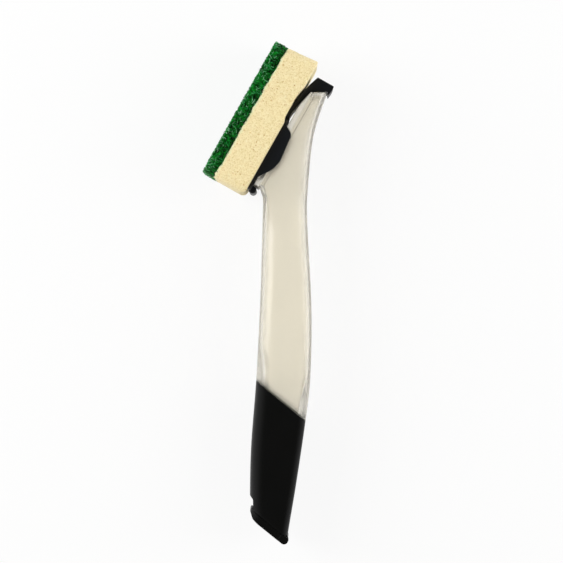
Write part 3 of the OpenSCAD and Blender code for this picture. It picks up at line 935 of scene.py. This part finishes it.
@dataclass
class Grip:
    """The black sleeve over the lower handle, with the filler's cap and its hinge."""

    shape: WandShape
    paints: Paints
    notch_d: float = 1.8
    notch_h: float = 8.0
    hinge_p: float = 9.6
    hinge_q: float = -1.5
    barrel_r: float = 2.1
    pin_r: float = 0.9
    knuckle_w: float = 12.0
    lug_w: float = 6.6
    ear_w: float = 1.6
    neck_p: float = -3.5
    neck_r: float = 7.0
    cap_t: float = 3.6
    cap_front_r: float = 7.5
    plug_r: float = 2.0
    smooth: float = 38.0

    @property
    def lug_end(self) -> float:
        """Returns how far the fixed knuckles reach to each side."""
        return self.knuckle_w / 2 + self.shape.free_gap + self.lug_w

    def build(self) -> None:
        """Builds the sleeve and the cap."""
        self.sleeve()
        self.cap()

    def lug(self, side: int) -> BMesh:
        """Makes one of the two fixed knuckles on its foot, in the hinge's frame.

        Args:
            side: 1 for the one above, -1 for its mirror image below.

        Returns:
            A closed mesh.
        """
        low = self.knuckle_w / 2 + self.shape.free_gap
        foot = self.shape.sleeve_t - self.hinge_q - 0.4
        r = self.barrel_r
        outline = [(-r, -r, r), (r, -r, r), (r, 1.4, 1.4), (-0.8, foot, 0.0), (-r, foot, 0.0)]
        bm = soften(slab(outline, low, low + self.lug_w, 12), 0.25)
        if side < 0:
            turned(bm, Matrix.Rotation(math.pi, 4, "X") @ Matrix.Scale(-1, 4, (0, 1, 0)))
            bmesh.ops.recalc_face_normals(bm, faces=bm.faces)
        return bm

    def knuckle(self, low: float, high: float) -> BMesh:
        """Makes a knuckle of the cap, in the hinge's frame.

        Args:
            low: its lower end.
            high: its upper end.

        Returns:
            A closed mesh that reaches back into the cap's plate.
        """
        r, depth = self.barrel_r, -self.hinge_q
        outline = [(-3.5, -r, 0), (r, -r, r), (r, r, r), (-1.3, r, 1.0), (-1.8, depth, 0), (-3.5, depth, 0)]
        return soften(slab(outline, low, high, 12), 0.25)

    def sleeve(self) -> None:
        """Builds the sleeve with its thumb notch, its knuckles and the neck's hole."""
        s = self.shape
        end, seam, cast = s.end_height(0), s.grip_y, s.cast
        inner = s.end_height(s.sleeve_t)
        rings = [(inner + (seam - inner) * i / 14, cast, s.sleeve_t) for i in range(15)]
        rings += [(seam - drop, cast, inset) for drop, inset in ((0.0, 0.35), (0.08, 0.1), (0.4, 0.0))]
        rings += [(seam - 0.4 + (end + 1.1 - seam) * i / 28, cast, 0.0) for i in range(1, 29)]
        rings += [(end + rise, cast, inset) for rise, inset in ((0.3, 0.12), (0.06, 0.35), (0.0, 0.8))]
        obj = s.loft(rings, "grip_sleeve_smooth")
        x, d, h = s.front_x, self.notch_d, self.notch_h
        y = s.end_y - (x + d - s.end_x) * cast
        notch = slab([
            (x - 2, y - 4, 0), (x, y - 4, 0), (x + d, y, 0.3), (x + d - 0.2, y + h - 2, 1.2), (x, y + h, 0.5),
            (x - 2, y + h + 1.6, 0),
        ], -FAR, FAR)
        hinge = s.end_frame() @ placed(self.hinge_p, self.hinge_q)
        neck = s.end_frame() @ placed(self.neck_p, 0) @ UPRIGHT
        half, side = self.knuckle_w / 2 + s.free_gap, s.end_w / 2 + 2
        swing_r = self.barrel_r + s.free_gap
        swings = [(-half, half), (self.lug_end, side), (-side, -self.lug_end)]
        combine(obj, [
            ("DIFFERENCE", turned(notch, Matrix.Translation(s.offset))),
            ("UNION", turned(self.lug(1), hinge)),
            ("UNION", turned(self.lug(-1), hinge)),
            ("DIFFERENCE", turned(rod(self.neck_r + s.fit_gap, -4, 4), neck)),
            ("DIFFERENCE", turned(rod(self.pin_r + 0.025, -FAR, FAR), hinge)),
            *(("DIFFERENCE", turned(rod(swing_r, low, high), hinge)) for low, high in swings),
        ])
        finish_piece(obj, self.paints.grip, Body.HANDLE, ("grip_sleeve",), self.smooth)

    def cap(self) -> None:
        """Builds the flip cap with its thumb lip, its knuckle and the two ears beside the hinge."""
        s = self.shape
        front = (s.front_x + self.notch_d - s.end_x) / math.cos(math.radians(s.slope)) - 1.5
        back = self.hinge_p - self.barrel_r - s.free_gap
        half, deep = s.end_w / 2, self.cap_t
        profile = slab([
            (front, -0.9, 0.4), (front + 3.6, 0.4 - deep, 4), (front + 7, -deep, 8), (back, -deep, 0),
            (back, 0, 0), (front, 0, 0.3),
        ], -half - 1, half + 1)
        obj = as_object(profile, "flip_cap_smooth")
        round_r, edge = self.cap_front_r, back + 0.05
        plan = [(front, -half, round_r), (edge, -half, 0.8), (edge, half, 0.8), (front, half, round_r)]
        combine(obj, [("INTERSECT", turned(slab(plan, -1, 6, 10), UPRIGHT))])
        bm = bmesh.new()
        bm.from_mesh(obj.data)
        soften(bm, 0.3, 3, 28).to_mesh(obj.data)
        bm.free()
        hinge = placed(self.hinge_p, self.hinge_q)
        neck = placed(self.neck_p, 0) @ UPRIGHT
        middle, ear = self.knuckle_w / 2, self.lug_end + s.free_gap
        knuckles = [(-middle, middle), (ear, ear + self.ear_w), (-ear - self.ear_w, -ear)]
        combine(obj, [
            *(("UNION", turned(self.knuckle(low, high), hinge)) for low, high in knuckles),
            ("DIFFERENCE", turned(rod(self.neck_r + 0.6, -1, 1.2), neck)),
            ("DIFFERENCE", turned(rod(self.plug_r, 0, 2.5), neck)),
            ("DIFFERENCE", turned(rod(self.pin_r + 0.05, -self.lug_end, self.lug_end), hinge)),
        ])
        obj.data.transform(s.end_frame())
        finish_piece(obj, self.paints.grip, Body.CAP, ("flip_cap",), self.smooth)


@dataclass
class Refill:
    """The clip-on refill: plate, cheeks and heel, springy arm with its beak, foam and scourer."""

    shape: WandShape
    paints: Paints
    sponge_len: float = 76.8
    sponge_w: float = 46.6
    foam_t: float = 17.6
    scour_t: float = 6.8
    sponge_r: float = 6.0
    plate_w: float = 38.4
    cheek_t: float = 1.8
    cheek_h: float = 7.3
    cheek_u: float = 11.6
    cheek_len: float = 30.0
    heel_r: float = 1.95
    heel_half: float = 15.0
    arm_w: float = 24.0
    arm_u: float = 44.5
    bow: float = 1.4
    flex_t: float = 2.6
    flex_u: float = 58.2
    flex_v: float = -0.8545
    bend: float = 5.0
    beak_u: float = 71.6
    beak_v: float = 12.7
    beak_gap: float = 3.2
    barb: float = 1.4
    outlet_u: float = 30.0
    outlet_r: float = 4.4
    corner_r: float = 3.6
    swell: float = 1.3
    foam_waves: Table = ((9.0, 0.22), (2.7, 0.12))
    foam_grain: Table = ((0.9, 0.1),)
    scour_lumps: Table = ((2.4, 0.45), (1.1, 0.35))
    kinds: int = 24
    count: int = 8060
    batch: int = 65
    # Share of fibres given a pale tone as painted glints.
    painted_glint: float = 0.13
    rng: random.Random = field(default_factory=lambda: random.Random(11))

    def build(self) -> None:
        """Builds the plate, the latch, the foam, the scourer and its fibres."""
        self.plate()
        self.latch()
        self.foam()
        self.scourer()
        self.fibres()

    def plate(self) -> None:
        """Builds the plate with its cheeks and its round heel."""
        t, half = self.shape.plate_t, self.plate_w / 2
        heel_u, heel_v = self.shape.chin_u - self.heel_r - 0.25, -self.heel_r - 0.5
        board = [(heel_u - 1, -half, 3), (self.arm_u, -half, 3), (self.arm_u, half, 3), (heel_u - 1, half, 3)]
        obj = as_object(turned(soften(slab(board, 0, t), 0.25), UPRIGHT), "refill_plate_smooth")
        u, end, h = self.cheek_u, self.cheek_u + self.cheek_len, self.cheek_h
        profile = [
            (u, -t, 1), (u + 9, -h - 0.9, 14), (end - 2.6, -h + 1.1, 3.4), (end, -t, 0.8),
            (end + 1, -t / 2, 0), (u, -t / 2, 0),
        ]
        parts: list[tuple[str, BMesh]] = []
        for side in (-1, 1):
            cheek = soften(slab(profile, -self.cheek_t / 2, self.cheek_t / 2), 0.3, 3, 50)
            parts.append(("UNION", turned(cheek, placed(0, 0, side * (half - self.cheek_t / 2 - 0.001)))))
        heel = soften(rod(self.heel_r, -self.heel_half, self.heel_half, 32), 0.4, 3, 50)
        parts.append(("UNION", turned(heel, placed(heel_u, heel_v))))
        parts.append(("DIFFERENCE", turned(rod(self.outlet_r, -2, 4), placed(self.outlet_u, 0) @ UPRIGHT)))
        combine(obj, parts)
        obj.data.transform(self.shape.head_frame())
        finish_piece(obj, self.paints.refill, Body.REFILL, ("refill_plate",))

    def latch(self) -> None:
        """Builds the springy arm and its beak as the one moulding that they are."""
        s = self.shape
        tip = s.nose_corner(s.free_gap)
        back_x = hermite(s.back_table, s.nose_y) + s.free_gap

        def local(x: float, y: float) -> Point2:
            """Returns a handle point in the head's frame."""
            dx, dy, sin, cos = x + s.head_set, y - s.head_y, math.sin(s.tilt), math.cos(s.tilt)
            return dx * sin + dy * cos, dy * sin - dx * cos

        inner = local(back_x, s.nose_y + s.free_gap)
        point = local(back_x + 0.4, s.nose_y - self.barb)
        u, bow, flex, beak, skin = self.arm_u, self.bow, self.flex_u, self.beak_u, 0.08
        profile = [
            (u - 3.2, skin - s.plate_t, 0), (u, skin - s.plate_t, 2), (u + 2.5, bow - 1.7, 4),
            (u + 6.5, bow - 2.1, 10), (flex + 1.2, s.under_arm(flex + 1.2), 4), (*tip, 3), (*inner, 0.3),
            (*point, 0.2), (point[0] + 3.2, point[1] - 0.4, 0.6), (beak, -self.beak_v, 0.4),
            (beak, -self.beak_gap, 0.5), (flex + 8, self.flex_v - 0.5, 10),
            (flex, self.flex_v + self.flex_t / 2, 6), (u + 6.5, bow + 0.1, 12), (u + 0.5, bow - 0.2, 5),
            (u - 2.2, -skin, 3), (u - 3.2, -skin, 0),
        ]
        bm = soften(slab(profile, -self.arm_w / 2, self.arm_w / 2), 0.35, 3, 50)
        bmesh.ops.triangulate(bm, faces=[f for f in bm.faces if len(f.verts) > 4])
        obj = as_object(turned(bm, s.head_frame()), "latch_arm")
        finish_piece(obj, self.paints.refill, None, ("latch_beak",))
        start = s.head_frame() @ Vector((flex - self.bend, self.flex_v, 0))
        end = s.head_frame() @ Vector((flex + self.bend, self.flex_v, 0))
        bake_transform(obj)

    def block(self, low: float, high: float, rim: float, voxel: float, name: str, shrink: float) -> Object:
        """Makes an evenly meshed block of the sponge's plan.

        Args:
            low: depth of the face towards the handle.
            high: depth of the far face.
            rim: width of the rim's rounding.
            voxel: size of the mesh's cells.
            name: the object's name.
            shrink: how far the block is drawn in.

        Returns:
            The block, in the head's frame.
        """
        half, r = self.sponge_w / 2 - shrink, self.sponge_r
        a, b = shrink, self.sponge_len - shrink
        bm = soften(slab([(a, -half, r), (b, -half, r), (b, half, r), (a, half, r)], -high, -low), rim, 3)
        obj = as_object(turned(bm, UPRIGHT), name)
        mesher = obj.modifiers.new("even", "REMESH")
        mesher.mode = "VOXEL"
        mesher.voxel_size = voxel
        baked(obj)
        return obj

    def foam(self) -> None:
        """Builds the foam, with pitted sides and a dent where the arm presses."""
        obj = self.block(0.1, self.foam_t - 0.1, 0.9, 0.55, "foam_block", 0.15)
        vertices = obj.data.vertices
        normals = [v.normal.copy() for v in vertices]
        tint = obj.data.attributes.new("near_scourer", "FLOAT", "POINT")
        for vert, normal in zip(vertices, normals):
            p = self.slump(vert.co)
            waves = rough(p, self.foam_waves) + rough(p, self.foam_grain)
            warp = Vector((noise.noise(p / 1.7), noise.noise(p / 1.9 + Vector((7, 0, 0))), 0)) * 0.25
            distances, _ = noise.voronoi(p / 3.1 + warp)
            pit = max(0.0, 0.24 - distances[0]) / 0.24
            chance = noise.noise(p / 6.5 + Vector((31, 5, 9)))
            depth = 0.8 * pit * max(0.0, 0.4 + chance)
            on_back = max(0.0, min(1.0, -normal.y))
            amount = waves * (1 - 0.8 * on_back) - depth * (1 - on_back)
            if normal.y > 0.7:
                amount = min(amount, 0.0)
            vert.co = p + normal * amount
            if self.arm_u - 3.2 < p.x < self.flex_u + 8.8 and on_back > 0.3:
                vert.co.y = max(vert.co.y, self.dent(p.x) + 0.12 * noise.noise(p / 1.4))
            near = max(0.0, min(1.0, 1 - (self.foam_t - p.y) / 2.0))
            vert.co.y += self.ragged(p.x, p.z) * near
            tint.data[vert.index].value = max(0.0, min(1.0, 1.25 * near - 0.3 + noise.noise(p / 1.2) * 0.4))
        obj.data.transform(self.shape.head_frame())
        finish_piece(obj, self.paints.foam, Body.REFILL, ("foam_sponge",), smooth=None)

    def slump(self, point: Vector) -> Vector:
        """Rounds the foam's lower back edge and lets its upper back corner swell.

        Args:
            point: a point of the straight block, in the head's frame.

        Returns:
            The moved point.
        """
        p = point.copy()
        r = self.corner_r
        a, b = r - p.x, r - p.y
        reach = math.hypot(a, b)
        if a > 0 and b > 0 and reach > r:
            p.x, p.y = r - r * a / reach, r - r * b / reach
        lift = max(0.0, (p.x - 0.8 * self.sponge_len) / (0.2 * self.sponge_len))
        p.x += self.swell * lift * (1 - min(max(p.y, 0.0) / self.foam_t, 1.0)) ** 1.5
        return p

    def ragged(self, u: float, z: float) -> float:
        """Works out how far the bond between foam and scourer strays.

        Args:
            u: the place along the sponge.
            z: the place across it.

        Returns:
            The distance, towards the scourer.
        """
        coarse = noise.noise(Vector((u / 3.4, 4.1, z / 3.4)))
        fine = noise.noise(Vector((u / 1.3, 9.7, z / 1.3)))
        return 0.55 * coarse + 0.4 * fine + 1.1 * max(0.0, 1 - u / 7)

    def dent(self, u: float) -> float:
        """Works out how deep the arm's dent in the foam is.

        Args:
            u: the place along the sponge.

        Returns:
            The depth.
        """
        arm, flex = self.arm_u, self.flex_u
        points = [
            (arm - 3.2, 0.0), (arm - 1.6, 0.35), (arm + 0.6, 1.15), (arm + 3, 1.4), (arm + 6.5, 1.65),
            (flex - 2, 1.4), (flex + 2, 0.85), (flex + 5.5, 0.1), (flex + 9, 0.0),
        ]
        return hermite(points, u)

    def scourer(self) -> None:
        """Builds the scourer's bonded body, lumpy and full of holes."""
        low, high = self.foam_t + 0.05, self.foam_t + self.scour_t - 0.35
        obj = self.block(low, high, 0.8, 0.6, "scourer_body", 0.45)
        vertices = obj.data.vertices
        normals = [v.normal.copy() for v in vertices]
        tone = obj.data.attributes.new("tone", "FLOAT", "POINT")
        for vert, normal in zip(vertices, normals):
            p = vert.co.copy()
            lump = rough(p, self.scour_lumps)
            hole = max(0.0, noise.noise(p / 1.7 + Vector((17, 3, 5))) - 0.15) * 2.0
            amount = lump - hole - 0.15
            if normal.y < -0.7:
                amount = max(-0.2, min(amount, 0.0))
            vert.co = p + normal * amount
            depth = (p.y - self.foam_t) / self.scour_t
            vert.co.y += self.ragged(p.x, p.z) * max(0.0, 1 - 3 * depth)
            # Painted shade and light in the tone: darker in the holes and towards the foam, lighter on the
            # lumps.
            tone.data[vert.index].value = 0.12 + 0.4 * depth + 0.3 * lump - 0.5 * hole
        obj.data.transform(self.shape.head_frame())
        finish_piece(obj, self.paints.scourer, Body.REFILL, ("scourer_pad",), smooth=None)

    def fibre(self, length: float, bend: float, radius: float, steps: int = 3) -> Mesh:
        """Makes one bent fibre along X, closed at both ends.

        Args:
            length: its length.
            bend: how far its middle bows.
            radius: its radius.
            steps: its pieces.

        Returns:
            The mesh.
        """
        bm = bmesh.new()
        bmesh.ops.create_circle(bm, cap_ends=True, segments=3, radius=radius)
        last = Vector((-length / 2, 0, 0))
        turned(bm, Matrix.Translation(last) @ Matrix.Rotation(math.radians(90), 4, "Y"))
        edges = list(bm.edges)
        sway = self.rng.uniform(-0.5, 0.5)
        for i in range(1, steps + 1):
            t = i / steps
            bow = bend * math.sin(math.pi * t)
            here = Vector((length * (t - 0.5), bow, sway * math.sin(2 * math.pi * t)))
            made = bmesh.ops.extrude_edge_only(bm, edges=edges)["geom"]
            edges = [e for e in made if isinstance(e, BMEdge)]
            bmesh.ops.translate(bm, vec=here - last, verts=[v for v in made if isinstance(v, BMVert)])
            last = here
        bmesh.ops.contextual_create(bm, geom=edges)
        bmesh.ops.recalc_face_normals(bm, faces=bm.faces)
        return as_mesh(bm, "fibre")

    def past_corner(self, point: Vector) -> Vector:
        """Works out how far a point lies out from the centre of the plan's nearest corner rounding.

        Args:
            point: the point, in the head's frame.

        Returns:
            The way from the centre to the point, with no depth.
        """
        r, half = self.sponge_r, self.sponge_w / 2
        centre_u = min(max(point.x, r), self.sponge_len - r)
        centre_z = min(max(point.z, r - half), half - r)
        return Vector((point.x - centre_u, 0, point.z - centre_z))

    def spot(self) -> tuple[Vector, Vector]:
        """Picks a random place on the scourer's skin.

        Returns:
            The place, and the outward direction there, in the head's frame.
        """
        length, half, deep = self.sponge_len, self.sponge_w / 2, self.scour_t
        face, long_sides, short_sides = 2 * length * half, 2 * length * deep, 4 * half * deep
        pick = self.rng.uniform(0, face + long_sides + short_sides)
        middle = self.foam_t + deep / 2
        if pick < face:
            u, z = self.rng.uniform(0.8, length - 0.8), self.rng.uniform(-half + 0.8, half - 0.8)
            place, out = Vector((u, middle + deep / 2, z)), Vector((0, 1, 0))
        elif pick < face + long_sides:
            side = self.rng.choice((-1, 1))
            u, v = self.rng.uniform(1, length - 1), middle + self.rng.uniform(-0.54, 0.47) * deep
            place, out = Vector((u, v, side * half)), Vector((0, 0, side))
        else:
            side = self.rng.choice((0, 1))
            z, v = self.rng.uniform(-half + 1, half - 1), middle + self.rng.uniform(-0.54, 0.47) * deep
            place, out = Vector((side * length, v, z)), Vector((2 * side - 1, 0, 0))
        away = self.past_corner(place)
        if away.length > self.sponge_r:
            place += away.normalized() * self.sponge_r - away
            if out.y == 0:
                out = away.normalized()
        return place, out

    def lay(self) -> Matrix:
        """Picks how a fibre lies on the scourer's skin.

        Returns:
            A random place and turn.
        """
        place, out = self.spot()
        place = place - out * self.rng.uniform(0.25, 0.8)
        spin = Matrix.Rotation(self.rng.uniform(0, 2 * math.pi), 4, "Z")
        tip = Matrix.Rotation(self.rng.uniform(-0.12, 0.12), 4, "Y")
        return Matrix.Translation(place) @ out.to_track_quat("Z", "Y").to_matrix().to_4x4() @ spin @ tip

    def tuft(self, kinds: Sequence[Mesh]) -> Mesh:
        """Makes one batch of fibres, since a mesh that grows past some thousand faces gets slow to add to.

        Args:
            kinds: the fibres to choose from.

        Returns:
            The batch.
        """
        bm = bmesh.new()
        layer = bm.verts.layers.float.new("tone")
        for _ in range(self.batch):
            first = len(bm.verts)
            bm.from_mesh(self.rng.choice(kinds))
            bm.verts.ensure_lookup_table()
            fresh = bm.verts[first:]
            bmesh.ops.transform(bm, matrix=self.lay(), verts=fresh)
            depth = (fresh[0].co.y - self.foam_t) / self.scour_t
            # Painted shade: fibres deeper towards the foam get a darker tone, on top of their random tone.
            light = min(1.0, self.rng.random() ** 1.3 * (0.5 + 0.75 * depth) + 0.1)
            # Painted highlight: a share of fibres is given a pale tone as glints.
            if self.rng.random() < self.painted_glint:
                light = self.rng.uniform(0.72, 1.0)
            for vert in fresh:
                vert[layer] = light
        self.keep_inside(bm)
        return as_mesh(bm, "tuft")

    def fibres(self) -> None:
        """Builds the loose fibres on the scourer's skin, as one piece."""
        kinds = [
            self.fibre(self.rng.uniform(0.9, 2.6), self.rng.uniform(-0.4, 0.4), self.rng.uniform(0.12, 0.24))
            for _ in range(self.kinds)
        ]
        bm = bmesh.new()
        for _ in range(self.count // self.batch):
            mesh = self.tuft(kinds)
            bm.from_mesh(mesh)
            bpy.data.meshes.remove(mesh)
        obj = as_object(turned(bm, self.shape.head_frame()), "scourer_fibres")
        for mesh in kinds:
            bpy.data.meshes.remove(mesh)
        for polygon in obj.data.polygons:
            polygon.use_smooth = True
        obj.data.transform(Matrix.Scale(MM, 4))
        obj.data.materials.append(self.paints.fibre)
        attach(obj, Body.REFILL.value)
        LOG.info("%s: %d faces", obj.name, len(obj.data.polygons))

    def keep_inside(self, bm: BMesh) -> None:
        """Holds the fibres' points in the scourer's space, so that none stands far out of it.

        Args:
            bm: the fibres.
        """
        low, high, limit = self.foam_t - 0.7, self.foam_t + self.scour_t, self.sponge_r + 0.05
        for vert in bm.verts:
            vert.co.y = min(max(vert.co.y, low), high)
            away = self.past_corner(vert.co)
            if away.length > limit:
                vert.co += away.normalized() * limit - away


# The studio


@dataclass
class Studio:
    """Camera, lamps and floor of a plain bright studio.

    The dome's light falls from the first number of dome_to to the second, between dome_from's two heights.
    """

    lens: float = 129.0
    aim: tuple[float, float] = (6.79, 5.92)
    height: float = 1073.3
    paper_half: float = 3.0
    paper_drop: float = 0.0002
    paper_share: float = 0.88
    dome_from: Point2 = (0.3, 0.95)
    dome_to: Point2 = (0.95, 0.03)
    lamps: tuple[tuple[str, Corner, Point2, float], ...] = (
        ("key", (-0.9, 0.3, 0.55), (0.6, 1.3), 11.5),
        ("fill", (0.95, 0.05, 0.5), (0.5, 1.3), 7.5),
    )

    def camera(self) -> None:
        """Hangs the camera over the wand, looking straight down, with the head at the picture's top."""
        data = bpy.data.cameras.new("camera")
        data.lens = self.lens
        data.sensor_width = 36.0
        camera = bpy.data.objects.new("camera", data)
        bpy.context.scene.collection.objects.link(camera)
        camera.location = (self.aim[0] * MM, self.aim[1] * MM, self.height * MM)
        bpy.context.scene.camera = camera

    def lamp(self, name: str, place: Corner, size: Point2, watts: float) -> None:
        """Adds a soft box that faces the wand.

        Args:
            name: its name.
            place: its place in metres.
            size: its width and height in metres.
            watts: its power.
        """
        data = bpy.data.lights.new(name, "AREA")
        data.shape = "RECTANGLE"
        data.size, data.size_y = size
        data.energy = watts
        lamp = bpy.data.objects.new(name, data)
        lamp.visible_glossy = False
        bpy.context.scene.collection.objects.link(lamp)
        lamp.location = place
        lamp.rotation_euler = (-Vector(place)).to_track_quat("-Z", "Y").to_euler()

    def floor(self) -> None:
        """Lays a white floor that the camera sees as paper white, but for the wand's soft shadow."""
        bm = bmesh.new()
        bmesh.ops.create_grid(bm, x_segments=1, y_segments=1, size=self.paper_half)
        obj = as_object(bm, "floor")
        obj.location.z = -self.paper_drop
        material = bpy.data.materials.new("white_paper_matte")
        add = fresh_tree(material)
        rays = add("LightPath").outputs
        seen = add("Math", {"operation": "MAXIMUM", "#0": rays["Is Camera Ray"], "#1": rays["Is Glossy Ray"]})
        seen = add("Math", {"operation": "MAXIMUM", "#0": seen, "#1": rays["Is Transmission Ray"]})
        mixed = add("MixShader", {
            "#0": add("Math", {"operation": "MULTIPLY", "#0": seen, "#1": self.paper_share}),
            "#1": add("BsdfDiffuse", {"Color": linear("F4F4F2")}),
            "#2": add("Emission", {"Color": linear("FFFFFF"), "Strength": 1.0}),
        })
        add("OutputMaterial", {"Surface": mixed})
        obj.data.materials.append(material)

    def world(self) -> None:
        """Sets the even light from all round, darker overhead so that the black parts stay black."""
        world = bpy.data.worlds.new("studio")
        bpy.context.scene.world = world
        add = fresh_tree(world)
        rays = add("LightPath").outputs
        way = add("TexCoord").outputs["Generated"]
        even = add("MapRange", {
            "interpolation_type": "SMOOTHSTEP", "Value": add("SeparateXYZ", {"#0": way}).outputs["Z"],
            "From Min": self.dome_from[0], "From Max": self.dome_from[1],
            "To Min": self.dome_to[0], "To Max": self.dome_to[1],
        })
        seen = add("Math", {
            "operation": "MAXIMUM", "#0": rays["Is Camera Ray"], "#1": rays["Is Transmission Ray"],
        })
        mixed = add("MixShader", {
            "#0": seen,
            "#1": add("Background", {"Color": linear("F6F7F8"), "Strength": even}),
            "#2": add("Background", {"Color": linear("FFFFFF"), "Strength": 1.0}),
        })
        add("OutputWorld", {"Surface": mixed})

    def build(self) -> None:
        """Sets the floor, the world and the lamps."""
        self.floor()
        self.world()
        for lamp in self.lamps:
            self.lamp(*lamp)
        bpy.context.scene.view_settings.view_transform = "Standard"


def dress_inner_nodes(paints: Paints) -> None:
    """Gives the CAD nodes that stay their finishes.

    Args:
        paints: the finishes.
    """
    finishes = {
        "slit_valve": paints.silicone, "valve_ring": paints.white, "filler_neck": paints.clear,
        "cap_plug": paints.white, "hinge_pin": paints.steel,
    }
    for node, material in finishes.items():
        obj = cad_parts[node]
        obj.data.materials.clear()
        obj.data.materials.append(material)


def main() -> None:
    """Builds the studio and every piece of the wand."""
    logging.basicConfig(level=logging.INFO, format="%(name)s: %(message)s")
    studio = Studio()
    studio.camera()
    shape = WandShape()
    paints = Paints(shape.seam())
    for part in (Reservoir(shape, paints), Grip(shape, paints), Refill(shape, paints)):
        part.build()
    dress_inner_nodes(paints)
    studio.build()


if __name__ == "__main__":
    main()
